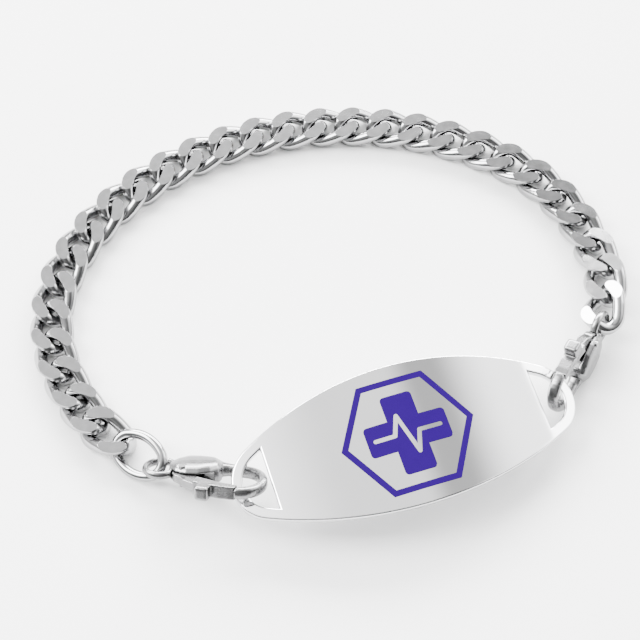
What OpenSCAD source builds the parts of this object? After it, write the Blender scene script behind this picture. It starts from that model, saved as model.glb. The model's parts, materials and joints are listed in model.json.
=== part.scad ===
// Medical alert bracelet: an oval plate with enamel marks, a curb chain,
// a jump ring and two lobster clasps. It lies slack on a flat surface.
// Units are millimetres, +Z is up, the origin is under the loop's middle.

/* [Plate] */
// length of the plate, tip to tip
plate_length = 44.4; // [40:0.2:50]
// width of the plate across its middle
plate_width = 18.6; // [17:0.2:21]
// thickness of the sheet
plate_thickness = 1.0; // [0.9:0.05:1.1]
// radius the plate is bent to across its short axis
plate_bend = 83; // [70:1:120]
// width of the rim left outside each slot
rim_width = 1.4; // [1.3:0.05:1.5]
// distance from each tip to the straight side of its slot
slot_reach = 4.7; // [4.4:0.1:5.4]

/* [Enamel] */
// corner radius of the six-sided enamel line
border_radius = 8.5; // [7:0.1:8.6]
// width of the enamel line
border_line = 0.75; // [0.5:0.05:1.0]
// length of the enamel cross
cross_length = 10.4; // [8:0.1:11]
// width of the cross's arms
cross_arm = 4.0; // [3:0.1:4.4]
// depth of the enamel
enamel_depth = 0.2; // [0.1:0.05:0.4]

/* [Chain] */
// distance from one link to the next
link_pitch = 4.54; // [4.44:0.02:4.7]
// width of a link
link_width = 5.7; // [5.6:0.05:6.0]
// diameter of the links' wire
link_wire = 1.7; // [1.5:0.05:1.75]
// height left after the chain is filed flat
link_height = 2.4; // [2.2:0.05:2.8]

/* [Jump ring] */
// length of the ring, outside
ring_length = 8.4; // [8.0:0.1:9.0]
// width of the ring, outside
ring_width = 6.0; // [5.8:0.1:6.6]
// diameter of the ring's wire
ring_wire = 1.25; // [1.1:0.05:1.3]

/* [Clasps] */
// length of a clasp, eye to hook end
clasp_length = 15.2; // [14.6:0.1:16]
// thickness of a clasp's body
clasp_thickness = 2.8; // [2.4:0.1:3.0]
// diameter of the lever's pin
pin_diameter = 0.8; // [0.6:0.05:0.9]
// radial clearance of the lever on its pin
pin_clearance = 0.05; // [0.03:0.01:0.08]

/* [Hidden] */

steel = [0.80, 0.80, 0.82];
enamel = [0.29, 0.18, 0.70];
// space left between pieces that lie in or round one another
gap = 0.1;
// the plate's middle on the surface and its height, then its turn, its slope and its lean
plate_spot = [0.235, -0.418] * plate_length;
plate_rise = 2.32 * clasp_thickness;
plate_turn = 17.3;
plate_slope = 1;
plate_lean = 5;

// Points and frames. A frame is its origin and three axes.
function unit(v) = v / norm(v);
function frame_of(o, x, y) = let (u = unit(x), v = unit(y - (y * u) * u)) [o, u, v, cross(u, v)];
function seen(f, p) = f[0] + p[0] * f[1] + p[1] * f[2] + p[2] * f[3];
// stands its children on a frame, with the loop's middle moved to the origin
module put(f) {
    translate(-loop_middle) multmatrix([for (i = [0:2]) [f[1][i], f[2][i], f[3][i], f[0][i]]]) children();
}

// Plate
half_length = plate_length / 2;
half_width = plate_width / 2;
// radii of the oval's ends and sides; the ends stand a touch proud where the arcs cross
end_radius = half_width * 0.56;
end_middle = half_length - end_radius;
arc_cross = 0.02;
side_radius = (pow(end_middle, 2) + pow(half_width, 2) - pow(end_radius - arc_cross, 2))
    / (2 * (half_width - end_radius + arc_cross));

plate_frame = let (
    u = [cos(plate_turn) * cos(plate_slope), sin(plate_turn) * cos(plate_slope), -sin(plate_slope)],
    side = [-sin(plate_turn), cos(plate_turn), 0],
    up = cross(u, side))
    frame_of([plate_spot[0], plate_spot[1], plate_rise], u, side * cos(plate_lean) + up * sin(plate_lean));

// a four-arc oval, drawn in by "less" all round
module oval(less, tall) {
    r = end_radius - less;
    big = side_radius - less;
    d = side_radius - half_width;
    meet = end_middle + r * end_middle / (side_radius - end_radius);
    for (s = [-1, 1]) translate([s * end_middle, 0, -tall / 2]) cylinder(h = tall, r = r, $fn = 96);
    intersection() {
        translate([0, -d, -tall / 2]) cylinder(h = tall, r = big, $fn = 180);
        translate([0, d, -tall / 2]) cylinder(h = tall, r = big, $fn = 180);
        cube([2 * meet, plate_width, 2 * tall], center = true);
    }
}

// the bent sheet between two depths below the plate's face
module bent_sheet(top, bottom) {
    translate([0, 0, -plate_bend]) rotate([90, 0, 0]) difference() {
        cylinder(h = plate_width * 2, r = plate_bend - top, center = true, $fn = 360);
        cylinder(h = plate_width * 3, r = plate_bend - bottom, center = true, $fn = 360);
    }
}

module slots() {
    straight = half_length - slot_reach;
    intersection() {
        oval(rim_width, plate_length);
        for (s = [-1, 1]) translate([s * (straight + half_length / 2), 0, 0])
            cube([half_length, plate_width, plate_length], center = true);
    }
}

module border_shape(grow) {
    difference() {
        circle(r = border_radius + grow, $fn = 6);
        circle(r = border_radius - border_line / cos(30) - grow, $fn = 6);
    }
}

// the pulse line's bends, as shares of the cross's length and arm
pulse = [[-0.40, 0], [-0.16, 0], [-0.07, 0.62], [0.06, -0.66], [0.14, 0], [0.40, 0]];
pulse_width = cross_arm * 0.14;
module pulse_shape(grow) {
    pts = [for (p = pulse) [p[0] * cross_length, p[1] * cross_arm]];
    for (i = [1:len(pts) - 1]) {
        run = pts[i] - pts[i - 1];
        translate(pts[i - 1]) rotate(atan2(run[1], run[0])) translate([0, -pulse_width / 2 - grow])
            square([norm(run), pulse_width + 2 * grow]);
    }
    for (p = pts) translate(p) circle(d = pulse_width + 2 * grow, $fn = 24);
}

module cross_shape(grow) {
    corner = cross_arm * 0.12;
    for (q = [0, 90]) rotate(q) {
        square([cross_length + 2 * grow, cross_arm - 2 * corner + 2 * grow], center = true);
        square([cross_length - 2 * corner + 2 * grow, cross_arm + 2 * grow], center = true);
        for (i = [-1, 1], j = [-1, 1])
            translate([i * (cross_length / 2 - corner), j * (cross_arm / 2 - corner)])
                circle(r = corner + grow, $fn = 24);
    }
}

// enamel sits in its recess with this much room all round
enamel_room = 0.02;
module raised(tall) {
    linear_extrude(height = tall, center = true) children();
}

module id_plate() {
    color(steel) put(plate_frame) difference() {
        intersection() {
            oval(0, plate_length);
            bent_sheet(0, plate_thickness);
        }
        slots();
        intersection() {
            bent_sheet(-1, enamel_depth + enamel_room);
            union() {
                raised(plate_length) border_shape(enamel_room);
                difference() {
                    raised(plate_length) cross_shape(enamel_room);
                    raised(plate_length * 2) pulse_shape(-enamel_room);
                }
            }
        }
    }
}

module emblem_border() {
    color(enamel) put(plate_frame) intersection() {
        bent_sheet(0, enamel_depth);
        raised(plate_length) border_shape(0);
    }
}

module emblem_cross() {
    color(enamel) put(plate_frame) intersection() {
        bent_sheet(0, enamel_depth);
        difference() {
            raised(plate_length) cross_shape(0);
            raised(plate_length * 2) pulse_shape(0);
        }
    }
}

// the middle of the rim round a slot: side -1 or 1, angle from the tip towards the far side
function rim_point(side, angle) = let (
    r = end_radius - rim_width / 2,
    x = side * (half_length - end_radius + r * cos(angle)),
    z = sqrt(pow(plate_bend, 2) - x * x) - plate_bend - plate_thickness / 2)
    seen(plate_frame, [x, r * sin(angle), z]);

// Clasps. Their lengths are shares of the clasp's length, from the eye's middle towards the hook.
L = clasp_length;
eye_tube = 0.025 * L;
// height of the eye's band against its width
eye_tall = 1.35;
eye_radius = 0.125 * L;
eye_spot = [-0.040 * L, 0, 0];
hook_middle = [0.658, 0.037] * L;
hook_radius = 0.176 * L;
hook_arm = 0.037 * L;
pivot = [0.171, 0.066, 0] * L;
lever_reach = 0.521 * L;
lever_web = 0.38 * clasp_thickness;
knob_spot = [0.420, 0.262, 0] * L;
knob_size = [0.116, 0.128, 0.124] * L;
channel_room = 0.14;

// from the rim's place in the hook: the rim's side and angle, the clasp's heading, rise and lean, the seat
clasp_frame_of = function (side, angle, heading, rise, lean, seat) let (
    u = [cos(heading) * cos(rise), sin(heading) * cos(rise), sin(rise)],
    h = [-sin(heading), cos(heading), 0],
    v = h * cos(lean) + cross(u, h) * sin(lean),
    f = frame_of([0, 0, 0], u, v))
    [rim_point(side, angle) - seat[0] * f[1] - seat[1] * f[2], f[1], f[2], f[3]];
left_frame = clasp_frame_of(-1, 21.5, -14.4, 9, 144.2, [0.606, -0.014] * L);
right_frame = clasp_frame_of(1, 10.7, 238.3, 1.1, 104.2, [0.643, -0.019] * L);
left_eye = seen(left_frame, eye_spot);
right_eye = seen(right_frame, eye_spot);

// along the body: place, half width, and half thickness as a share of the clasp's thickness
body_run = [[0.044, 0.000, 0.058, 0.34], [0.105, -0.010, 0.118, 0.46], [0.184, -0.030, 0.155, 0.53],
    [0.276, -0.050, 0.156, 0.55], [0.350, -0.076, 0.134, 0.55], [0.400, -0.104, 0.107, 0.52],
    [0.428, -0.121, 0.078, 0.42], [0.446, -0.131, 0.052, 0.32], [0.500, -0.137, 0.040, 0.28],
    [0.572, -0.139, 0.037, 0.27]];
hook_angles = [-90, -70, -50, -30, -10, 10, 30, 50, 70, 88];
body_path = concat(
    [for (s = body_run) [s[0] * L, s[1] * L]],
    [for (a = hook_angles) hook_middle + hook_radius * [cos(a), sin(a)]]);
body_half = concat(
    [for (s = body_run) [s[2] * L, s[3] * clasp_thickness]],
    [for (a = hook_angles) [hook_arm, 0.27 * clasp_thickness]]);

// a skin over rings of points that run round a loop
function loop_faces(rings, sides) = [for (i = [0:rings - 1], j = [0:sides - 1]) let (
    a = i * sides, b = (i + 1) % rings * sides, k = (j + 1) % sides)
    each [[a + j, b + j, b + k], [a + j, b + k, a + k]]];

// a closed skin over rings of points, with flat ends
function skin_faces(rings, sides) = concat(
    [for (i = [0:rings - 2], j = [0:sides - 1]) let (a = i * sides, b = a + sides, k = (j + 1) % sides)
        each [[a + j, b + j, b + k], [a + j, b + k, a + k]]],
    [[for (j = [0:sides - 1]) j]],
    [[for (j = [sides - 1:-1:0]) (rings - 1) * sides + j]]);

function heading_at(path, i) = unit(path[min(i + 1, len(path) - 1)] - path[max(i - 1, 0)]);
function squared(c) = sign(c) * pow(abs(c), 0.75);
module body_loft() {
    sides = 12;
    polyhedron(
        points = [for (i = [0:len(body_path) - 1], j = [0:sides - 1]) let (
            t = heading_at(body_path, i), a = 360 * (j + 0.5) / sides,
            w = body_half[i][0] * squared(cos(a)), z = body_half[i][1] * squared(sin(a)))
            [body_path[i][0] - t[1] * w, body_path[i][1] + t[0] * w, z]],
        faces = skin_faces(len(body_path), sides));
}

module clasp_body() {
    difference() {
        union() {
            body_loft();
            translate(eye_spot) rotate_extrude($fn = 48) translate([eye_radius, 0])
                scale([1, eye_tall]) circle(r = eye_tube, $fn = 24);
        }
        // channel for the lever's web
        linear_extrude(height = lever_web + 2 * channel_room, center = true)
            polygon([[0.079, 0.180], [0.079, -0.010], [0.171, -0.030], [0.237, -0.023], [0.342, 0.013],
                [0.493, 0.013], [0.493, 0.180]] * L);
        translate(pivot) cylinder(h = clasp_thickness * 2, d = pin_diameter, center = true, $fn = 32);
        // room for the sweep of the lever's end
        intersection() {
            translate(pivot)
                cylinder(h = clasp_thickness * 2, r = lever_reach + 0.008 * L, center = true, $fn = 120);
            translate([0.560, 0.140, -0.5] * L) cube([0.2, 0.14, 1] * L);
        }
    }
}

module clasp_lever() {
    difference() {
        union() {
            intersection() {
                union() {
                    linear_extrude(height = lever_web, center = true)
                        polygon([[0.112, 0.105], [0.224, 0.190], [0.322, 0.227], [0.526, 0.245],
                            [0.700, 0.232], [0.700, 0.184], [0.526, 0.178], [0.368, 0.146],
                            [0.257, 0.060], [0.197, 0.000], [0.132, 0.005]] * L);
                    linear_extrude(height = 0.62 * clasp_thickness, center = true)
                        polygon([[0.322, 0.227], [0.428, 0.240], [0.526, 0.245], [0.612, 0.243],
                            [0.700, 0.232], [0.700, 0.184], [0.526, 0.178], [0.368, 0.150],
                            [0.322, 0.138]] * L);
                }
                translate(pivot)
                    cylinder(h = clasp_thickness * 2, r = lever_reach, center = true, $fn = 120);
            }
            translate(pivot) cylinder(h = lever_web, r = 0.079 * L, center = true, $fn = 48);
            translate(knob_spot) cube(knob_size, center = true);
        }
        translate(pivot)
            cylinder(h = clasp_thickness * 2, r = pin_diameter / 2 + pin_clearance, center = true, $fn = 32);
    }
}

module clasp_pin() {
    translate(pivot)
        cylinder(h = clasp_thickness * 0.98, d = pin_diameter - 0.01, center = true, $fn = 32);
}

module left_clasp() {
    color(steel) put(left_frame) clasp_body();
}

module left_lever() {
    color(steel) put(left_frame) clasp_lever();
}

module left_pin() {
    color(steel) put(left_frame) clasp_pin();
}

module right_clasp() {
    color(steel) put(right_frame) clasp_body();
}

module right_lever() {
    color(steel) put(right_frame) clasp_lever();
}

module right_pin() {
    color(steel) put(right_frame) clasp_pin();
}

// Jump ring, from the left clasp's eye out to the first link
ring_span = ring_length - ring_wire;
ring_half = (ring_width - ring_wire) / 2;
ring_far_height = 0.579 * link_height;
ring_frame = let (
    drop = left_eye[2] - ring_far_height,
    level = sqrt(ring_span * ring_span - drop * drop),
    heading = 143.2,
    far = left_eye + [level * cos(heading), level * sin(heading), -drop],
    u = unit(left_eye - far),
    h = unit(cross([0, 0, 1], u)),
    lean = 29.7)
    frame_of((left_eye + far) / 2, u, h * cos(lean) + cross(u, h) * sin(lean));

// a four-arc ring: the radii of the wire's middle line at its ends and along its sides
ring_end_radius = 0.8 * ring_half;
ring_end_middle = ring_span / 2 - ring_end_radius;
ring_side_radius = (pow(ring_end_middle, 2) + pow(ring_half, 2) - pow(ring_end_radius, 2))
    / (2 * (ring_half - ring_end_radius));
ring_side_drop = ring_side_radius - ring_half;
ring_turn = atan2(ring_side_drop, ring_end_middle);

// the wire's middle line where its outward side has this heading
function ring_spot(a) = abs(cos(a)) > cos(ring_turn)
    ? [sign(cos(a)) * ring_end_middle + ring_end_radius * cos(a), ring_end_radius * sin(a)]
    : [ring_side_radius * cos(a), ring_side_radius * sin(a) - sign(sin(a)) * ring_side_drop];
ring_steps = 36;
ring_sides = 12;

module jump_ring() {
    color(steel) put(ring_frame) polyhedron(
        points = [for (i = [0:ring_steps - 1], j = [0:ring_sides - 1]) let (
            a = 360 * i / ring_steps, b = 360 * j / ring_sides,
            p = ring_spot(a) + ring_wire / 2 * cos(b) * [cos(a), sin(a)])
            [p[0], p[1], ring_wire / 2 * sin(b)]],
        faces = loop_faces(ring_steps, ring_sides));
}

// Chain. Its route runs clockwise from the jump ring to the right clasp's eye.
link_count = 29;
link_wire_half = link_wire / 2;
// middle line of a link's wire: half its length and half its width
link_half_long = (link_pitch + link_wire + 3 * gap) / 2;
link_half_wide = (link_width - link_wire) / 2;
// turn of the link's ends out of flat
link_twist = 48;

// turns about their own length, to pass into the eye and the ring
link_rolls = [for (i = [1:link_count]) i == link_count ? 26.1 : i == link_count - 1 ? 12.7
    : i == link_count - 3 ? -1.7 : i == 1 ? 1.3 : i == 2 ? 3 : 0];
// heights of the joints between links above lying flat, as shares of the link's height
end_rise = [for (i = [0:link_count]) i == link_count ? 0.75 : i == link_count - 1 ? 0.508
    : i == link_count - 2 ? 0.316 : i == link_count - 3 ? 0.076 : i == link_count - 4 ? 0.015
    : i == 0 ? 0.11 : i == 1 ? 0.06 : 0];

// first and last joints of the route, and their headings
start_heading = 143.6;
end_heading = 249.82;
ring_end = ring_frame[0] - ring_frame[1] * ring_span / 2;
ring_reach = link_half_long - (link_wire + ring_wire) / 2 - gap;
route_start = [ring_end[0], ring_end[1]]
    - (link_pitch / 2 - ring_reach) * [cos(start_heading), sin(start_heading)];
route_end = [right_eye[0], right_eye[1]]
    - (link_half_long - link_pitch / 2) * [cos(end_heading), sin(end_heading)];

// points the route is led through: shares of the line from its start to its end, along and beside it
route_points = [[-0.034, 0.057], [-0.076, 0.190], [-0.069, 0.328], [-0.001, 0.450], [0.102, 0.544],
    [0.227, 0.606], [0.363, 0.639], [0.503, 0.643], [0.640, 0.619], [0.771, 0.569], [0.887, 0.492],
    [0.983, 0.391], [1.0358, 0.2685], [1.0465, 0.1347], [1.0266, 0.0599]];

route_line = route_end - route_start;
route_beside = [-route_line[1], route_line[0]];
function led(bulge) = concat([route_start],
    [for (p = route_points) let (along = 0.5 + (p[0] - 0.5) * (0.5 + bulge / 2))
        route_start + along * route_line + p[1] * bulge * route_beside],
    [route_end]);

// smooth curve through the points, cut in steps
curve_steps = 10;
function curve_bit(a, b, c, d, t) = 0.5 * (2 * b + (c - a) * t + (2 * a - 5 * b + 4 * c - d) * t * t
    + (3 * b - 3 * c + d - a) * t * t * t);
function curve(p) = let (n = len(p)) concat(
    [for (i = [0:n - 2], k = [0:curve_steps - 1])
        curve_bit(p[max(i - 1, 0)], p[i], p[i + 1], p[min(i + 2, n - 1)], k / curve_steps)],
    [p[n - 1]]);
function lengths(p, i = 0, sum = 0) = i >= len(p) - 1 ? [sum]
    : concat([sum], lengths(p, i + 1, sum + norm(p[i + 1] - p[i])));
function curve_length(bulge) = let (s = lengths(curve(led(bulge)))) s[len(s) - 1];

// the bulge that makes the route as long as the chain
function fitted(low, high, n) = let (mid = (low + high) / 2)
    n == 0 ? mid
    : curve_length(mid) < link_count * link_pitch ? fitted(mid, high, n - 1)
    : fitted(low, mid, n - 1);
route = curve(led(fitted(0.6, 1.5, 18)));
route_lengths = lengths(route);
route_total = route_lengths[len(route) - 1];
function on_route(s) = [lookup(s, [for (i = [0:len(route) - 1]) [route_lengths[i], route[i][0]]]),
    lookup(s, [for (i = [0:len(route) - 1]) [route_lengths[i], route[i][1]]])];
joints = [for (i = [0:link_count]) let (p = on_route(route_total * i / link_count))
    [p[0], p[1], link_height * (0.5 + end_rise[i])]];

function link_frame(i) = let (
    u = unit(joints[i] - joints[i - 1]),
    outward = unit(cross([0, 0, 1], u)),
    roll = link_rolls[i - 1])
    frame_of((joints[i] + joints[i - 1]) / 2, u, outward * cos(roll) + cross(u, outward) * sin(roll));

// the loop's middle: the chain's left, right and far sides, and the plate's near side
link_middles = [for (i = [1:link_count]) (joints[i] + joints[i - 1]) / 2];
plate_reach = side_radius - (side_radius - half_width) * cos(plate_turn);
loop_middle = [
    (min([for (p = link_middles) p[0]]) + max([for (p = link_middles) p[0]])) / 2,
    (max([for (p = link_middles) p[1]]) + link_width / 2 + plate_spot[1] - plate_reach) / 2,
    0];

// Middle line of a link: a long ring, turned about its length from end to end
end_turns = [-90, -60, -30, 0, 30, 60, 90];
flat_ring = let (c = link_half_long - link_half_wide) concat(
    [for (a = end_turns) [c + link_half_wide * cos(a), link_half_wide * sin(a), cos(a), sin(a)]],
    [[0, link_half_wide, 0, 1]],
    [for (a = end_turns) [-c - link_half_wide * cos(a), -link_half_wide * sin(a), -cos(a), -sin(a)]],
    [[0, -link_half_wide, 0, -1]]);
function twisted(p, n) = let (a = -link_twist * p[0] / link_half_long) [n[0], n[1] * cos(a), n[1] * sin(a)];
link_line = [for (p = flat_ring) twisted(p, [p[0], p[1]])];
link_sides = 6;
link_skin = [for (i = [0:len(flat_ring) - 1]) let (
    n = len(flat_ring),
    t = unit(link_line[(i + 1) % n] - link_line[(i + n - 1) % n]),
    out = twisted(flat_ring[i], [flat_ring[i][2], flat_ring[i][3]]),
    e = unit(out - (out * t) * t),
    b = cross(t, e))
    for (j = [0:link_sides - 1]) let (
        a = 360 * j / link_sides,
        q = link_line[i] + link_wire_half * (cos(a) * e + sin(a) * b))
        [q[0], q[1], max(-link_height / 2, min(link_height / 2, q[2]))]];
module link(i) {
    color(steel) put(link_frame(i))
        polyhedron(points = link_skin, faces = loop_faces(len(flat_ring), link_sides));
}

module link_01() {
    link(1);
}

module link_02() {
    link(2);
}

module link_03() {
    link(3);
}

module link_04() {
    link(4);
}

module link_05() {
    link(5);
}

module link_06() {
    link(6);
}

module link_07() {
    link(7);
}

module link_08() {
    link(8);
}

module link_09() {
    link(9);
}

module link_10() {
    link(10);
}

module link_11() {
    link(11);
}

module link_12() {
    link(12);
}

module link_13() {
    link(13);
}

module link_14() {
    link(14);
}

module link_15() {
    link(15);
}

module link_16() {
    link(16);
}

module link_17() {
    link(17);
}

module link_18() {
    link(18);
}

module link_19() {
    link(19);
}

module link_20() {
    link(20);
}

module link_21() {
    link(21);
}

module link_22() {
    link(22);
}

module link_23() {
    link(23);
}

module link_24() {
    link(24);
}

module link_25() {
    link(25);
}

module link_26() {
    link(26);
}

module link_27() {
    link(27);
}

module link_28() {
    link(28);
}

module link_29() {
    link(29);
}

id_plate();
emblem_border();
emblem_cross();
link_01();
link_02();
link_03();
link_04();
link_05();
link_06();
link_07();
link_08();
link_09();
link_10();
link_11();
link_12();
link_13();
link_14();
link_15();
link_16();
link_17();
link_18();
link_19();
link_20();
link_21();
link_22();
link_23();
link_24();
link_25();
link_26();
link_27();
link_28();
link_29();
jump_ring();
left_clasp();
left_lever();
left_pin();
right_clasp();
right_lever();
right_pin();
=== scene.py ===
import json
from math import atan2, cos, pi, radians, sin, sqrt
import bmesh
import bpy
import numpy as np
from mathutils import Matrix, Vector


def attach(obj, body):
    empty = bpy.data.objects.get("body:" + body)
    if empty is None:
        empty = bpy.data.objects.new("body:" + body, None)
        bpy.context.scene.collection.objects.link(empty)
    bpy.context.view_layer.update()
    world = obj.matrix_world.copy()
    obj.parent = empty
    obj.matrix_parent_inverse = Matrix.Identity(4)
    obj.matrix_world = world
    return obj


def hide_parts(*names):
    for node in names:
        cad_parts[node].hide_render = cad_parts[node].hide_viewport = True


mm = 0.001
weld = 2e-6  # points nearer than this are one
onPlane = 1e-6  # a point this near a plane lies on it
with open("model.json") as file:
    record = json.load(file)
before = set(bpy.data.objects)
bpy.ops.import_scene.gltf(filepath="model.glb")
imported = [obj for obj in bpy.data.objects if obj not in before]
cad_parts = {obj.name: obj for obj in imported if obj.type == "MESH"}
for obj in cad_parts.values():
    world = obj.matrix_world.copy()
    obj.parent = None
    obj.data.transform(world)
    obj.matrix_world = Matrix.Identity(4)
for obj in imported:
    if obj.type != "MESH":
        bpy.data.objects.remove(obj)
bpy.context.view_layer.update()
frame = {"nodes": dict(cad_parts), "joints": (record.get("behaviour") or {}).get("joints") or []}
nodes = frame["nodes"]
print("frame loaded:", len(nodes), "nodes")


# Shader maths: a socket that takes + - * and a tree that makes nodes

class Field:
    def __init__(self, tree, socket):
        self.tree = tree
        self.socket = socket

    def maths(self, operation, first, second):
        return self.tree.node("ShaderNodeMath", {"operation": operation}, {0: first, 1: second})

    def __add__(self, other):
        return self.maths("ADD", self, other)

    def __radd__(self, other):
        return self.maths("ADD", other, self)

    def __rsub__(self, other):
        return self.maths("SUBTRACT", other, self)

    def __mul__(self, other):
        return self.maths("MULTIPLY", self, other)

    def __rmul__(self, other):
        return self.maths("MULTIPLY", other, self)

    def above(self, low, high):
        return self.tree.node("ShaderNodeMapRange", {"interpolation_type": "SMOOTHSTEP"},
                              {"Value": self, "From Min": low, "From Max": high}, "Result")


class Tree:
    def __init__(self, owner, shader):
        owner.use_nodes = True
        self.nodes = owner.node_tree.nodes
        self.links = owner.node_tree.links
        self.shader = self.nodes[shader]

    def fill(self, socket, value):
        if isinstance(value, Field):
            self.links.new(value.socket, socket)
        else:
            socket.default_value = value

    def node(self, kind, settings=None, values=None, output=0):
        made = self.nodes.new(kind)
        for name, value in (settings or {}).items():
            setattr(made, name, value)
        for name, value in (values or {}).items():
            self.fill(made.inputs[name], value)
        return Field(self, made.outputs[output])

    def place(self, output="Object"):
        return self.node("ShaderNodeTexCoord", output=output)

    def stretched(self, scale, output="Object", turn=(0, 0, 0)):
        return self.node("ShaderNodeMapping", {},
                         {"Vector": self.place(output), "Scale": scale, "Rotation": turn})

    def noise(self, vector, scale, detail=3.0, roughness=0.55):
        return self.node("ShaderNodeTexNoise", {"noise_dimensions": "3D"},
                         {"Vector": vector, "Scale": scale, "Detail": detail, "Roughness": roughness})

    def mixed(self, factor, first, second):
        return self.node("ShaderNodeMix", {"data_type": "RGBA"}, {0: factor, 6: first, 7: second}, 2)

    def towards(self, direction, *vector):
        return self.node("ShaderNodeVectorMath", {"operation": "DOT_PRODUCT"},
                         {0: direction, 1: vector}, "Value")

    def bump(self, height, strength, distance):
        return self.node("ShaderNodeBump", {}, {"Height": height, "Strength": strength, "Distance": distance})

    def varying(self, **fields):
        for socket, value in fields.items():
            self.fill(self.shader.inputs[socket.replace("_", " ")], value)


class Finish(Tree):
    def __init__(self, name, **constants):
        self.material = bpy.data.materials.new(name)
        super().__init__(self.material, "Principled BSDF")
        for socket, value in constants.items():
            self.shader.inputs[socket.replace("_", " ")].default_value = value

    def varying(self, **fields):
        super().varying(**fields)
        return self.material


brushTurn = (0, 0, radians(-17))  # brush lines run along the plate as it lies


def grey(level, tint=0.012):
    return (level, level, level * (1 + tint), 1)


def polishedFace():
    look = {"bright": 0.72, "dull": 0.66, "smooth": 0.045, "hazy": 0.085, "wear": 0.02}
    finish = Finish("polishedFace", Metallic=1.0)
    cloud = finish.noise(finish.place(), 160, 3)
    lines = finish.noise(finish.stretched((120, 2600, 2600), turn=brushTurn), 1, 2)
    hairs = lines.above(0.66, 0.74)
    return finish.varying(
        Base_Color=finish.mixed(cloud, grey(look["dull"]), grey(look["bright"])),
        Roughness=look["smooth"] + (look["hazy"] - look["smooth"]) * cloud + hairs * look["wear"],
        Normal=finish.bump(lines, 0.02, 0.00002))


def brushedBack():
    finish = Finish("brushedBack", Metallic=1.0)
    lines = finish.noise(finish.stretched((90, 5200, 5200), turn=brushTurn), 1, 4)
    return finish.varying(
        Base_Color=finish.mixed(lines, grey(0.58), grey(0.76)),
        Roughness=0.24 + 0.16 * lines,
        Normal=finish.bump(lines, 0.35, 0.00004))


def enamelFill():
    finish = Finish("enamelFill", Coat_Weight=0.05, Coat_Roughness=0.03, Specular_IOR_Level=0.04)
    cloud = finish.noise(finish.place(), 700, 3)
    grain = finish.noise(finish.place(), 5200, 2)
    return finish.varying(
        Base_Color=finish.mixed(cloud, (0.0105, 0.0, 0.060, 1), (0.0125, 0.0, 0.070, 1)),
        Roughness=0.22 + 0.12 * grain,
        Normal=finish.bump(cloud, 0.05, 0.00005))


def filedFlat():
    finish = Finish("filedFlat", Metallic=1.0)
    lines = finish.noise(finish.stretched((0.30, 5.0, 1), "UV"), 1, 5, 0.7)
    cloud = finish.noise(finish.place(), 420, 3)
    return finish.varying(
        Base_Color=finish.mixed(lines, grey(0.46), grey(0.64)),
        Roughness=0.27 + 0.12 * lines + 0.08 * cloud,
        Normal=finish.bump(lines, 0.30, 0.00003))


def polishedWire():
    finish = Finish("polishedWire", Metallic=1.0)
    cloud = finish.noise(finish.place(), 900, 4)
    grain = finish.noise(finish.place(), 5200, 2)
    return finish.varying(
        Base_Color=finish.mixed(cloud, grey(0.27), grey(0.37)),
        Roughness=0.11 + 0.09 * cloud,
        Normal=finish.bump(grain, 0.06, 0.00002))


def polishedRing():
    finish = Finish("polishedRing", Metallic=1.0)
    cloud = finish.noise(finish.place(), 900, 3)
    return finish.varying(
        Base_Color=finish.mixed(cloud, grey(0.27), grey(0.35)),
        Roughness=0.07 + 0.06 * cloud,
        Normal=finish.bump(cloud, 0.03, 0.00003))


def castSteel():
    finish = Finish("castSteel", Metallic=1.0)
    cloud = finish.noise(finish.place(), 500, 4)
    grain = finish.noise(finish.place(), 4200, 3)
    # painted shade: pointiness paints the casting's hollows and creases darker and its convex parts lighter
    paintedHollowShade = finish.node("ShaderNodeNewGeometry", output="Pointiness").above(0.44, 0.56)
    return finish.varying(
        Base_Color=finish.mixed(0.3 * cloud + 0.7 * paintedHollowShade, grey(0.10), grey(0.27)),
        Roughness=0.19 + 0.10 * cloud + 0.05 * grain,
        Normal=finish.bump(0.7 * grain + 0.3 * cloud, 0.12, 0.00004))


finishes = {make.__name__: make() for make in
            (polishedFace, brushedBack, enamelFill, filedFlat, polishedWire, polishedRing, castSteel)}
print("finishes made:", ", ".join(finishes))


# Turning meshes into pieces

def meshFrom(bm, name="shape"):
    mesh = bpy.data.meshes.new(name)
    bm.to_mesh(mesh)
    bm.free()
    return mesh


def objectFrom(mesh, name):
    made = bpy.data.objects.new(name, mesh)
    bpy.context.scene.collection.objects.link(made)
    return made


def applied(made):
    # the mesh with its modifiers run, the object itself put away
    bpy.context.view_layer.update()
    shaped = bpy.data.meshes.new_from_object(made.evaluated_get(bpy.context.evaluated_depsgraph_get()))
    bpy.data.objects.remove(made)
    return shaped


def combined(base, *tools):
    # tools: (operation, mesh) pairs, run one after another
    made = objectFrom(base, "base")
    cutters = []
    for operation, mesh in tools:
        modifier = made.modifiers.new("combine", "BOOLEAN")
        modifier.operation = operation
        modifier.solver = "EXACT"
        modifier.object = objectFrom(mesh, "tool")
        cutters.append(modifier.object)
    shaped = applied(made)
    for cutter in cutters:
        bpy.data.objects.remove(cutter)
    return shaped


def cast(mesh, voxel, rounds):
    # remeshed and smoothed, as a casting is tumbled
    made = objectFrom(mesh, "casting")
    remesh = made.modifiers.new("remesh", "REMESH")
    remesh.mode = "VOXEL"
    remesh.voxel_size = voxel
    smooth = made.modifiers.new("smooth", "SMOOTH")
    smooth.iterations = rounds
    return applied(made)


def piece(name, mesh, slot, body, finishNames, *replaced):
    mesh.materials.clear()
    for finishName in finishNames:
        mesh.materials.append(finishes[finishName])
    made = objectFrom(mesh, name)
    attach(made, body)
    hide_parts(*replaced)


def edgesAt(verts):
    # each edge once, in the same order every run
    return list(dict.fromkeys(e for v in verts for e in v.link_edges))


def movedVerts(grown):
    return [v for v in grown if isinstance(v, bmesh.types.BMVert)]


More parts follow.
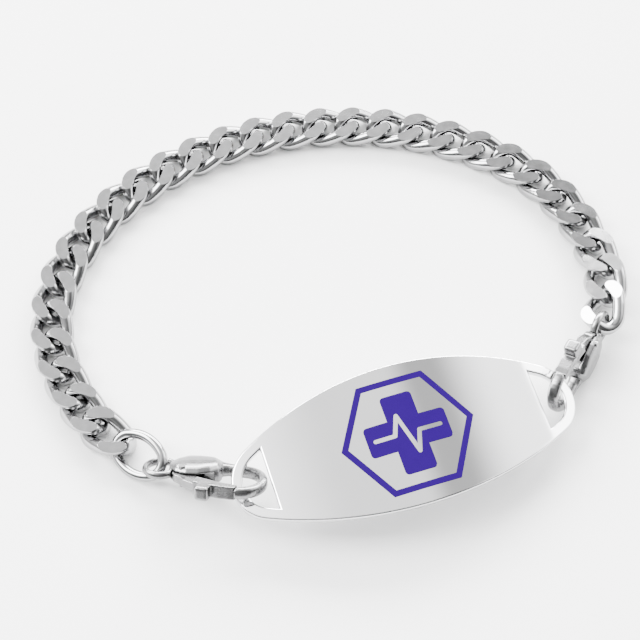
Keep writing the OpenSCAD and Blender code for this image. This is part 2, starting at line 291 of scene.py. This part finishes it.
def prism(bm, tall, low):
    # fills the outline in bm and gives it height
    bmesh.ops.remove_doubles(bm, verts=bm.verts, dist=weld)
    bmesh.ops.contextual_create(bm, geom=bm.edges[:])
    bmesh.ops.translate(bm, verts=bm.verts, vec=(0, 0, low))
    grown = bmesh.ops.extrude_face_region(bm, geom=bm.faces[:])["geom"]
    bmesh.ops.translate(bm, verts=movedVerts(grown), vec=(0, 0, tall))
    bmesh.ops.recalc_face_normals(bm, faces=bm.faces)
    return meshFrom(bm)


def outlined(bm, spots):
    verts = [bm.verts.new((x, y, 0)) for x, y in spots]
    for i, v in enumerate(verts):
        bm.edges.new((v, verts[(i + 1) % len(verts)]))
    return verts


def arc(bm, middle, radius, start, end, steps):
    # edges along an arc, angles in degrees
    across, up = radius * cos(radians(start)), radius * sin(radians(start))
    first = bm.verts.new((middle[0] + across, middle[1] + up, 0))
    bmesh.ops.spin(bm, geom=[first], cent=(*middle, 0), axis=(0, 0, 1), angle=radians(end - start),
                   steps=steps)


def cylinder(radius, tall, middle=(0, 0, 0), sides=48):
    bm = bmesh.new()
    bmesh.ops.create_cone(bm, cap_ends=True, segments=sides, radius1=radius, radius2=radius, depth=tall,
                          matrix=Matrix.Translation(middle))
    return meshFrom(bm)


# Where things are: axes and middles, from the frame

def axesMatrix(middle, along, across):
    along = along.normalized()
    up = along.cross(across).normalized()
    return Matrix.Translation(middle) @ Matrix((along, up.cross(along), up)).transposed().to_4x4()


def ownAxes(node):
    # a symmetric node's middle and its own axes, longest first, weighed over its faces
    mesh = nodes[node].data
    mesh.calc_loop_triangles()
    spots = np.array([v.co for v in mesh.vertices])
    corners = spots[np.array([t.vertices for t in mesh.loop_triangles])]
    areas = np.linalg.norm(np.cross(corners[:, 1] - corners[:, 0], corners[:, 2] - corners[:, 0]), axis=1)
    middle = (corners.mean(1) * areas[:, None]).sum(0) / areas.sum()
    arms = corners - middle
    whole = arms.sum(1)
    spread = np.einsum("n,ni,nj->ij", areas, whole, whole) + np.einsum("n,nki,nkj->ij", areas, arms, arms)
    axes = np.linalg.eigh(spread)[1].T
    return axesMatrix(Vector(middle), Vector(axes[2]), Vector(axes[1]))


def headedAxes(heading, rise, lean):
    # a level heading lifted by rise, then leaned about its own length
    heading, rise, lean = radians(heading), radians(rise), radians(lean)
    along = Vector((cos(heading) * cos(rise), sin(heading) * cos(rise), sin(rise)))
    level = Vector((-sin(heading), cos(heading), 0))
    return along, level * cos(lean) + along.cross(level) * sin(lean)


# Plate: an oval sheet bent to a radius, with a slot near each tip

plate = {
    "length": 44.4 * mm, "width": 18.6 * mm, "thickness": 1.0 * mm, "bend": 83 * mm,
    "rim": 1.4 * mm, "slotReach": 4.7 * mm, "endShare": 0.56,
    "turn": 17.3, "slope": -1, "lean": 5,
    "edgeRound": 0.24 * mm, "edgeSteps": 5, "strips": 110,
    "endSteps": 48, "sideSteps": 72, "slotEndSteps": 40, "slotSideSteps": 6,
}


def ovalArcs(less):
    halfLong, halfWide = plate["length"] / 2, plate["width"] / 2
    endRadius = halfWide * plate["endShare"]
    sideRadius = (halfLong ** 2 + halfWide ** 2 - 2 * halfLong * endRadius) / (2 * (halfWide - endRadius))
    endMiddle, drop = halfLong - endRadius, sideRadius - halfWide
    return endMiddle, drop, endRadius - less, sideRadius - less, atan2(drop, endMiddle) * 180 / pi


def ovalBlank():
    endMiddle, drop, endRadius, sideRadius, meet = ovalArcs(0)
    bm = bmesh.new()
    arc(bm, (endMiddle, 0), endRadius, -meet, meet, plate["endSteps"])
    arc(bm, (0, -drop), sideRadius, meet, 180 - meet, plate["sideSteps"])
    arc(bm, (-endMiddle, 0), endRadius, 180 - meet, 180 + meet, plate["endSteps"])
    arc(bm, (0, drop), sideRadius, 180 + meet, 360 - meet, plate["sideSteps"])
    return prism(bm, plate["thickness"], -plate["thickness"])


def slotTool(side):
    endMiddle, drop, endRadius, sideRadius, meet = ovalArcs(plate["rim"])
    straight = plate["length"] / 2 - plate["slotReach"]
    corner = atan2(sqrt(sideRadius ** 2 - straight ** 2), straight) * 180 / pi
    bm = bmesh.new()
    arc(bm, (endMiddle, 0), endRadius, -meet, meet, plate["slotEndSteps"])
    arc(bm, (0, -drop), sideRadius, meet, corner, plate["slotSideSteps"])
    arc(bm, (0, drop), sideRadius, -corner, -meet, plate["slotSideSteps"])
    bmesh.ops.remove_doubles(bm, verts=bm.verts, dist=weld)
    bm.edges.new(sorted(bm.verts, key=lambda v: v.co.x)[:2])
    turn = Matrix.Rotation(0 if side > 0 else pi, 3, "Z")
    bmesh.ops.rotate(bm, verts=bm.verts, cent=(0, 0, 0), matrix=turn)
    return prism(bm, 3 * plate["thickness"], -2 * plate["thickness"])


def roundedOutline(mesh, width, steps, heights):
    # rounds the edges between walls and faces that lie at these heights
    bm = bmesh.new()
    bm.from_mesh(mesh)
    edges = [e for e in bm.edges if len(e.link_faces) == 2 and e.calc_face_angle(0) > radians(60)
             and all(min(abs(v.co.z - z) for z in heights) < onPlane for v in e.verts)]
    bmesh.ops.bevel(bm, geom=edges, offset=width, segments=steps, profile=0.5, affect="EDGES", material=-1)
    bm.to_mesh(mesh)
    bm.free()
    return mesh


def bent(mesh, place):
    # cut in strips, bent to the plate's radius and set in place, with true normals on the level faces
    bm = bmesh.new()
    bm.from_mesh(mesh)
    bmesh.ops.triangulate(bm, faces=bm.faces[:])
    low = min(v.co.x for v in bm.verts)
    high = max(v.co.x for v in bm.verts)
    step = plate["length"] / plate["strips"]
    for i in range(plate["strips"]):
        x = step * (i + 0.5) - plate["length"] / 2
        if low < x < high:
            bmesh.ops.bisect_plane(bm, geom=bm.verts[:] + bm.edges[:] + bm.faces[:], dist=weld,
                                   plane_co=(x, 0, 0), plane_no=(1, 0, 0))
    bm.normal_update()
    level = bm.faces.layers.int.new("level")
    for f in bm.faces:
        f.smooth = True
        f[level] = int(abs(f.normal.z) > 0.999) * (1 if f.normal.z > 0 else -1)
    for v in bm.verts:
        radius = plate["bend"] + v.co.z
        v.co.z = sqrt(radius ** 2 - v.co.x ** 2) - plate["bend"]
    bm.to_mesh(mesh)
    bm.free()
    mesh.set_sharp_from_angle(angle=radians(30))
    sides = [item.value for item in mesh.attributes["level"].data]
    centre = Vector((0, 0, -plate["bend"]))
    normals = []
    for f in mesh.polygons:
        for i in f.vertices:
            out = mesh.vertices[i].co - centre
            normals.append((Vector((out.x, 0, out.z)).normalized() * sides[f.index])[:])
    mesh.normals_split_custom_set(normals)
    mesh.transform(place)
    return mesh


def platePlace():
    along, across = headedAxes(plate["turn"], plate["slope"], plate["lean"])
    turned = axesMatrix(Vector(), along, across)
    back = turned.to_3x3().inverted()
    spots = [back @ v.co for v in nodes["id_plate"].data.vertices]
    middle = [(min(p[k] for p in spots) + max(p[k] for p in spots)) / 2 for k in (0, 1)]
    return Matrix.Translation(turned @ Vector((*middle, max(p.z for p in spots)))) @ turned


# Enamel: a six-sided line and a cross with a bare pulse line

enamel = {
    "borderRadius": 8.5 * mm, "borderLine": 0.75 * mm, "crossLength": 10.4 * mm, "crossArm": 4.0 * mm,
    "depth": 0.2 * mm, "room": 0.02 * mm, "edgeRound": 0.03 * mm,
    "pulse": [(-0.40, 0), (-0.16, 0), (-0.07, 0.62), (0.06, -0.66), (0.14, 0), (0.40, 0)],
    "pulseShare": 0.14, "cornerShare": 0.12,
}


def hexagon(radius, tall, low):
    bm = bmesh.new()
    bmesh.ops.create_circle(bm, segments=6, radius=radius)
    bmesh.ops.rotate(bm, verts=bm.verts, cent=(0, 0, 0), matrix=Matrix.Rotation(pi / 6, 3, "Z"))
    return prism(bm, tall, low)


def borderShape(grow, tall, low):
    inner = enamel["borderRadius"] - enamel["borderLine"] / cos(pi / 6) - grow
    return combined(hexagon(enamel["borderRadius"] + grow, tall, low),
                    ("DIFFERENCE", hexagon(inner, tall + 2 * mm, low - mm)))


def crossShape(grow, tall, low):
    half, arm = enamel["crossLength"] / 2 + grow, enamel["crossArm"] / 2 + grow
    bm = bmesh.new()
    outlined(bm, [(arm, arm), (arm, half), (-arm, half), (-arm, arm), (-half, arm), (-half, -arm),
                  (-arm, -arm), (-arm, -half), (arm, -half), (arm, -arm), (half, -arm), (half, arm)])
    tips = [v for v in bm.verts if v.co.length > half]
    bmesh.ops.bevel(bm, geom=tips, offset=enamel["crossArm"] * enamel["cornerShare"] + grow, segments=5,
                    profile=0.5, affect="VERTICES", material=-1)
    spots = [Vector((x * enamel["crossLength"], y * enamel["crossArm"], 0)) for x, y in enamel["pulse"]]
    radius = enamel["crossArm"] * enamel["pulseShare"] / 2 - grow
    tools = [("DIFFERENCE", cylinder(radius, 4 * mm, p, 24)) for p in spots]
    for i, (start, end) in enumerate(zip(spots[:-1], spots[1:])):
        # each bar is a little taller than the last, so no two ends share a plane
        bar = bmesh.new()
        run = end - start
        bmesh.ops.create_cube(bar, size=1, matrix=Matrix.Translation((start + end) / 2)
                              @ Matrix.Rotation(atan2(run.y, run.x), 4, "Z")
                              @ Matrix.Diagonal((run.length, 2 * radius, (5 + i) * mm, 1)))
        tools.append(("DIFFERENCE", meshFrom(bar)))
    return combined(prism(bm, tall, low), *tools)


def makePlate():
    place = platePlace()
    blank = combined(ovalBlank(), ("DIFFERENCE", slotTool(1)), ("DIFFERENCE", slotTool(-1)))
    blank = roundedOutline(blank, plate["edgeRound"], plate["edgeSteps"], (0, -plate["thickness"]))
    depth = enamel["depth"] + enamel["room"]
    recessed = combined(blank, ("DIFFERENCE", borderShape(enamel["room"], depth + mm, -depth)),
                        ("DIFFERENCE", crossShape(enamel["room"], depth + mm, -depth)))
    shaped = bent(recessed, place)
    back = place.to_3x3() @ Vector((0, 0, -1))
    piece("plate", shaped, "polished_plate", "bracelet", ("polishedFace", "brushedBack"), "id_plate")
    for f in shaped.polygons:
        low = (place.inverted() @ f.center).z < -plate["thickness"] / 2
        f.material_index = int(f.normal.dot(back) > 0.9 and low)
    for name, shape in (("emblem_border", borderShape), ("emblem_cross", crossShape)):
        fill = roundedOutline(shape(0, enamel["depth"], -enamel["depth"]), enamel["edgeRound"], 2, (0,))
        piece(name + "_fill", bent(fill, place), "enamel", "bracelet", ("enamelFill",), name)


makePlate()
print("plate and enamel made")


# Chain: one curb link made well, then set on each CAD link's own axes

link = {
    "count": 29, "pitch": 4.54 * mm, "width": 5.7 * mm, "wire": 1.7 * mm, "height": 2.4 * mm, "gap": 0.1 * mm,
    "twist": 48, "endSteps": 16, "sideSteps": 6, "wireSteps": 24, "edgeRound": 0.05 * mm,
}


def linkStations():
    # middle line of the wire and its outward side, round a long ring twisted from end to end
    halfLong = (link["pitch"] + link["wire"] + 3 * link["gap"]) / 2
    halfWide = (link["width"] - link["wire"]) / 2
    straight = halfLong - halfWide
    flat = []
    for side in (1, -1):
        for i in range(link["endSteps"] + 1):
            a = pi * (i / link["endSteps"] - 0.5)
            flat.append((side * (straight + halfWide * cos(a)), side * halfWide * sin(a),
                         side * cos(a), side * sin(a)))
        for i in range(1, link["sideSteps"]):
            flat.append((side * straight * (1 - 2 * i / link["sideSteps"]), side * halfWide, 0, side))
    spots = []
    outs = []
    for x, y, outX, outY in flat:
        turn = Matrix.Rotation(-radians(link["twist"]) * x / halfLong, 3, "X")
        spots.append(turn @ Vector((x, y, 0)))
        outs.append(turn @ Vector((outX, outY, 0)))
    return spots, outs


def linkMesh():
    bm = bmesh.new()
    spots, outs = linkStations()
    loops = []
    for i, (spot, out) in enumerate(zip(spots, outs)):
        tangent = spots[(i + 1) % len(spots)] - spots[i - 1]
        matrix = axesMatrix(spot, out - out.project(tangent), tangent.cross(out))
        made = bmesh.ops.create_circle(bm, segments=link["wireSteps"], radius=link["wire"] / 2, matrix=matrix)
        loops.append(edgesAt(made["verts"]))
    for i, loop in enumerate(loops):
        bmesh.ops.bridge_loops(bm, edges=loop + loops[(i + 1) % len(loops)])
    bmesh.ops.recalc_face_normals(bm, faces=bm.faces)
    uv = bm.loops.layers.uv.new("onLink")
    cuts = []
    for z in (1, -1):
        cut = bmesh.ops.bisect_plane(bm, geom=bm.verts[:] + bm.edges[:] + bm.faces[:], dist=1e-7,
                                     clear_outer=True, plane_co=(0, 0, z * link["height"] / 2),
                                     plane_no=(0, 0, z))["geom_cut"]
        cuts += [e for e in cut if isinstance(e, bmesh.types.BMEdge)]
    flats = bmesh.ops.edgeloop_fill(bm, edges=cuts)["faces"]
    for f in flats:
        f.material_index = 1
    bmesh.ops.recalc_face_normals(bm, faces=bm.faces)
    bmesh.ops.bevel(bm, geom=[e for f in flats for e in f.edges], offset=link["edgeRound"], segments=2,
                    profile=0.5, affect="EDGES", clamp_overlap=True, material=0)
    for f in bm.faces:
        f.smooth = f.material_index == 0
        for corner in f.loops:
            corner[uv].uv = corner.vert.co.xy / mm
    return meshFrom(bm, "link")


def makeChain():
    master = linkMesh()
    print("one link:", len(master.polygons), "faces")
    for i in range(1, link["count"] + 1):
        node = f"link_{i:02d}"
        mesh = master.copy()
        mesh.transform(ownAxes(node))
        piece(node + "_finished", mesh, "chain_steel", "bracelet", ("polishedWire", "filedFlat"), node)
    bpy.data.meshes.remove(master)


makeChain()
print("chain made")


# Jump ring: round wire bent to a four-arc ring

ring = {
    "length": 8.4 * mm, "width": 6.0 * mm, "wire": 1.25 * mm, "endShare": 0.8,
    "wireSteps": 28, "endSteps": 26, "sideSteps": 16,
}


def makeRing():
    halfLong, halfWide = (ring["length"] - ring["wire"]) / 2, (ring["width"] - ring["wire"]) / 2
    endRadius = halfWide * ring["endShare"]
    endMiddle = halfLong - endRadius
    sideRadius = (endMiddle ** 2 + halfWide ** 2 - endRadius ** 2) / (2 * (halfWide - endRadius))
    drop = sideRadius - halfWide
    meet = atan2(drop, endMiddle)
    bm = bmesh.new()
    start = Matrix.Translation((endMiddle + endRadius * cos(meet), -endRadius * sin(meet), 0))
    section = start @ Matrix.Rotation(-meet, 4, "Z") @ Matrix.Rotation(pi / 2, 4, "X")
    loop = bmesh.ops.create_circle(bm, segments=ring["wireSteps"], radius=ring["wire"] / 2,
                                   matrix=section)["verts"]
    grown = loop + edgesAt(loop)
    # round the ring: end, side, end, side
    end, side = (2 * meet, ring["endSteps"]), (pi - 2 * meet, ring["sideSteps"])
    for x, y, (angle, steps) in ((endMiddle, 0, end), (0, -drop, side),
                                 (-endMiddle, 0, end), (0, drop, side)):
        grown = bmesh.ops.spin(bm, geom=grown, cent=(x, y, 0), axis=(0, 0, 1), angle=angle,
                               steps=steps)["geom_last"]
    bmesh.ops.remove_doubles(bm, verts=bm.verts, dist=weld)
    bmesh.ops.recalc_face_normals(bm, faces=bm.faces)
    for f in bm.faces:
        f.smooth = True
    mesh = meshFrom(bm, "ring")
    mesh.transform(ownAxes("jump_ring"))
    piece("jump_ring_wire", mesh, "chain_steel", "bracelet", ("polishedRing",), "jump_ring")


makeRing()
print("jump ring made")


# Clasps: lengths are shares of the clasp's length, from near the eye towards the hook

clasp = {
    "length": 15.2 * mm, "thickness": 2.8 * mm, "pin": 0.8 * mm, "clearance": 0.05 * mm,
    "eyeTube": 0.025, "eyeTall": 1.35, "eyeRadius": 0.125, "eyeX": -0.040,
    "hook": (0.658, 0.037), "hookRadius": 0.176, "hookArm": 0.037, "pivot": (0.171, 0.066),
    "leverReach": 0.521, "sweepRoom": 0.008,
    "sweepBox": [(0.560, 0.140), (0.760, 0.140), (0.760, 0.280), (0.560, 0.280)],
    "webShare": 0.38, "barShare": 0.62, "channelRoom": 0.14 * mm,
    # place along and beside, half width, half thickness as a share of the thickness
    "body": [(0.044, 0.000, 0.058, 0.34), (0.105, -0.010, 0.118, 0.46), (0.184, -0.030, 0.155, 0.53),
             (0.276, -0.050, 0.156, 0.55), (0.350, -0.076, 0.134, 0.55), (0.400, -0.104, 0.107, 0.52),
             (0.428, -0.121, 0.078, 0.42), (0.446, -0.131, 0.052, 0.32), (0.500, -0.137, 0.040, 0.28),
             (0.572, -0.139, 0.037, 0.27)],
    "hookStart": -90, "hookEnd": 88, "hookStep": 10, "hookHalf": 0.27, "squareness": 0.75,
    "channel": [(0.079, 0.180), (0.079, -0.010), (0.171, -0.030), (0.237, -0.023), (0.342, 0.013),
                (0.493, 0.013), (0.493, 0.180)],
    "web": [(0.112, 0.105), (0.224, 0.190), (0.322, 0.227), (0.526, 0.245), (0.700, 0.232), (0.700, 0.184),
            (0.526, 0.178), (0.368, 0.146), (0.257, 0.060), (0.197, 0.000), (0.132, 0.005)],
    "bar": [(0.322, 0.227), (0.428, 0.240), (0.526, 0.245), (0.612, 0.243), (0.700, 0.232), (0.700, 0.184),
            (0.526, 0.178), (0.368, 0.150), (0.322, 0.138)],
    "knob": (0.420, 0.262), "knobSize": (0.116, 0.128, 0.124), "discRadius": 0.079,
    "voxel": 0.085 * mm, "smoothing": 8, "leverVoxel": 0.065 * mm, "leverSmoothing": 8, "sides": 24,
    "knobRound": 0.38 * mm,
    "left": (-14.4, 9, 144.2), "right": (238.3, 1.1, 104.2),
}


def shares(spots):
    return [(x * clasp["length"], y * clasp["length"]) for x, y in spots]


def claspPivot():
    return Vector((*shares([clasp["pivot"]])[0], 0))


def claspLoft():
    length, thick = clasp["length"], clasp["thickness"]
    rows = [(x * length, y * length, half * length, tall * thick) for x, y, half, tall in clasp["body"]]
    steps = round((clasp["hookEnd"] - clasp["hookStart"]) / clasp["hookStep"])
    for i in range(steps + 1):
        a = radians(clasp["hookStart"] + (clasp["hookEnd"] - clasp["hookStart"]) * i / steps)
        rows.append(((clasp["hook"][0] + clasp["hookRadius"] * cos(a)) * length,
                     (clasp["hook"][1] + clasp["hookRadius"] * sin(a)) * length,
                     clasp["hookArm"] * length, clasp["hookHalf"] * thick))
    bm = bmesh.new()
    loops = []
    for i, (x, y, half, tall) in enumerate(rows):
        ahead, behind = rows[min(i + 1, len(rows) - 1)], rows[max(i - 1, 0)]
        tangent = Vector((ahead[0] - behind[0], ahead[1] - behind[1], 0)).normalized()
        capped = i in (0, len(rows) - 1)
        circle = bmesh.ops.create_circle(bm, segments=clasp["sides"], radius=1, cap_ends=capped)
        for v in circle["verts"]:
            # squared-off section
            across, up = (abs(c) ** clasp["squareness"] * (1 if c > 0 else -1) for c in v.co.xy)
            side = Vector((-tangent.y, tangent.x, 0))
            v.co = Vector((x, y, 0)) + side * across * half + Vector((0, 0, up * tall))
        loops.append(edgesAt(circle["verts"]))
    for near, far in zip(loops[:-1], loops[1:]):
        bmesh.ops.bridge_loops(bm, edges=near + far)
    bmesh.ops.recalc_face_normals(bm, faces=bm.faces)
    return meshFrom(bm)


def torus(radius, tube, tall, middle):
    bm = bmesh.new()
    loop = bmesh.ops.create_circle(bm, segments=24, radius=tube, matrix=Matrix.Translation((radius, 0, 0))
                                   @ Matrix.Rotation(pi / 2, 4, "X"))["verts"]
    bmesh.ops.scale(bm, verts=loop, vec=(1, 1, tall))
    bmesh.ops.spin(bm, geom=loop + edgesAt(loop), cent=(0, 0, 0), axis=(0, 0, 1), angle=2 * pi, steps=64,
                   use_merge=True)
    bmesh.ops.recalc_face_normals(bm, faces=bm.faces)
    bmesh.ops.translate(bm, verts=bm.verts, vec=(middle, 0, 0))
    return meshFrom(bm)


def block(spots, tall):
    bm = bmesh.new()
    outlined(bm, shares(spots))
    return prism(bm, tall, -tall / 2)


def claspBody():
    length, thick = clasp["length"], clasp["thickness"]
    pivot = claspPivot()
    # room for the lever's end to swing past the hook's tip
    sweep = combined(cylinder((clasp["leverReach"] + clasp["sweepRoom"]) * length, 2 * thick, pivot, 160),
                     ("INTERSECT", block(clasp["sweepBox"], length)))
    channel = clasp["webShare"] * thick + 2 * clasp["channelRoom"]
    rough = combined(claspLoft(),
                     ("UNION", torus(clasp["eyeRadius"] * length, clasp["eyeTube"] * length, clasp["eyeTall"],
                                     clasp["eyeX"] * length)),
                     ("DIFFERENCE", block(clasp["channel"], channel)), ("DIFFERENCE", sweep))
    shaped = cast(rough, clasp["voxel"], clasp["smoothing"])
    return combined(shaped, ("DIFFERENCE", cylinder(clasp["pin"] / 2, 2 * thick, pivot)))


def claspLever():
    length, thick = clasp["length"], clasp["thickness"]
    pivot = claspPivot()
    knobX, knobY = shares([clasp["knob"]])[0]
    knob = bmesh.new()
    bmesh.ops.create_cube(knob, size=length, matrix=Matrix.Translation((knobX, knobY, 0))
                          @ Matrix.Diagonal((*clasp["knobSize"], 1)))
    bmesh.ops.bevel(knob, geom=knob.edges[:], offset=clasp["knobRound"], segments=4, profile=0.5,
                    affect="EDGES", material=-1)
    rough = combined(block(clasp["web"], clasp["webShare"] * thick),
                     ("UNION", block(clasp["bar"], clasp["barShare"] * thick)),
                     ("INTERSECT", cylinder(clasp["leverReach"] * length, 2 * thick, pivot, 160)),
                     ("UNION", cylinder(clasp["discRadius"] * length, clasp["webShare"] * thick, pivot)),
                     ("UNION", meshFrom(knob)))
    shaped = cast(rough, clasp["leverVoxel"], clasp["leverSmoothing"])
    return combined(shaped, ("DIFFERENCE", cylinder(clasp["pin"] / 2 + clasp["clearance"], 2 * thick, pivot)))


def makeClasps():
    body, lever = claspBody(), claspLever()
    print("clasp:", len(body.polygons), "faces; lever:", len(lever.polygons))
    joints = {joint["child"]: joint for joint in frame["joints"]}
    for side in ("left", "right"):
        along, across = headedAxes(*clasp[side])
        turned = axesMatrix(Vector(), along, across)
        pivot = claspPivot()
        hinge = Vector(joints[side + "_lever"]["pos_m"])
        place = Matrix.Translation(hinge - turned @ pivot) @ turned
        for name, mesh, ridden in (("clasp", body, "bracelet"), ("lever", lever, side + "_lever")):
            shaped = mesh.copy()
            shaped.shade_smooth()
            shaped.set_sharp_from_angle(angle=radians(75))
            shaped.transform(place)
            piece(f"{side}_{name}_casting", shaped, "clasp_steel", ridden, ("castSteel",), f"{side}_{name}")
        nodes[side + "_pin"].data.materials.clear()
        nodes[side + "_pin"].data.materials.append(finishes["castSteel"])


makeClasps()
print("clasps made")


# Floor, lights and camera

stage = {
    "floor": 0.94, "floorHalf": 1.2,
    # camera and target in mm
    "lens": 87.76, "camera": (-1.2914, -106.9917, 175.69), "target": (-1.2914, -2.9317, 2.4), "roll": 1.05,
    # brightness of the tent from left to right along the plate, and where one panel gives way to the next
    "panels": [5.2, 2.3, 0.95, 4.6], "edges": [(-0.45, -0.02), (0.20, 0.30), (0.36, 0.56)],
    # what is left of it low down and towards the camera, and where it fades
    "horizon": 0.17, "horizonEdge": (0.05, 0.6), "front": 0.15, "frontEdge": (-0.50, 0.16),
    # place, size and watts
    "lamps": {"leftSoftbox": ((-0.52, 0.12, 0.42), (0.35, 0.45), 14.0),
              "rightSoftbox": ((0.56, 0.26, 0.36), (0.40, 0.42), 4.0),
              "backSoftbox": ((0.04, 0.80, 0.44), (1.20, 0.36), 60.0)},
}


def makeFloor():
    bm = bmesh.new()
    bmesh.ops.create_grid(bm, x_segments=1, y_segments=1, size=stage["floorHalf"])
    floor = objectFrom(meshFrom(bm, "floor"), "floor")
    finish = Finish("paleFloor", Roughness=0.9, Specular_IOR_Level=0.1)
    cloud = finish.noise(finish.place(), 3, 2)
    floor.data.materials.append(finish.varying(
        Base_Color=finish.mixed(cloud, grey(stage["floor"] - 0.005, 0), grey(stage["floor"] + 0.005, 0))))


def areaLight(name, spot, size, power):
    # aimed at the middle of the floor
    data = bpy.data.lights.new(name, "AREA")
    data.shape = "RECTANGLE"
    data.size, data.size_y = size
    data.energy = power
    lamp = bpy.data.objects.new(name, data)
    bpy.context.scene.collection.objects.link(lamp)
    lamp.location = spot
    lamp.rotation_euler = (Vector() - Vector(spot)).to_track_quat("-Z", "Y").to_euler()


def makeCamera():
    data = bpy.data.cameras.new("camera")
    data.lens = stage["lens"]
    data.sensor_width = 36
    data.clip_start, data.clip_end = 0.01, 10
    camera = bpy.data.objects.new("camera", data)
    bpy.context.scene.collection.objects.link(camera)
    spot, target = (Vector(stage[key]) * mm for key in ("camera", "target"))
    back = (spot - target).normalized()
    right = Vector((0, 0, 1)).cross(back).normalized()
    up = back.cross(right)
    turn = Matrix.Rotation(radians(-stage["roll"]), 3, back)
    aimed = Matrix((turn @ right, turn @ up, back)).transposed().to_4x4()
    camera.matrix_world = Matrix.Translation(spot) @ aimed
    bpy.context.scene.camera = camera


def makeTent():
    world = bpy.data.worlds.new("tent")
    tree = Tree(world, "Background")
    turn = radians(plate["turn"])
    direction = tree.place("Generated")
    along = tree.towards(direction, cos(turn), sin(turn), 0)
    light = stage["panels"][0]
    for (low, high), before, after in zip(stage["edges"], stage["panels"][:-1], stage["panels"][1:]):
        light = light + (after - before) * along.above(low, high)
    low = 1 - tree.towards(direction, 0, 0, 1).above(*stage["horizonEdge"])
    near = 1 - tree.towards(direction, 0, 1, 0).above(*stage["frontEdge"])
    light = light * (1 - (1 - stage["horizon"]) * low) * (1 - (1 - stage["front"]) * near)
    tree.varying(Color=light)
    bpy.context.scene.world = world


makeFloor()
for name, settings in stage["lamps"].items():
    areaLight(name, *settings)
makeTent()
makeCamera()
print("stage set")
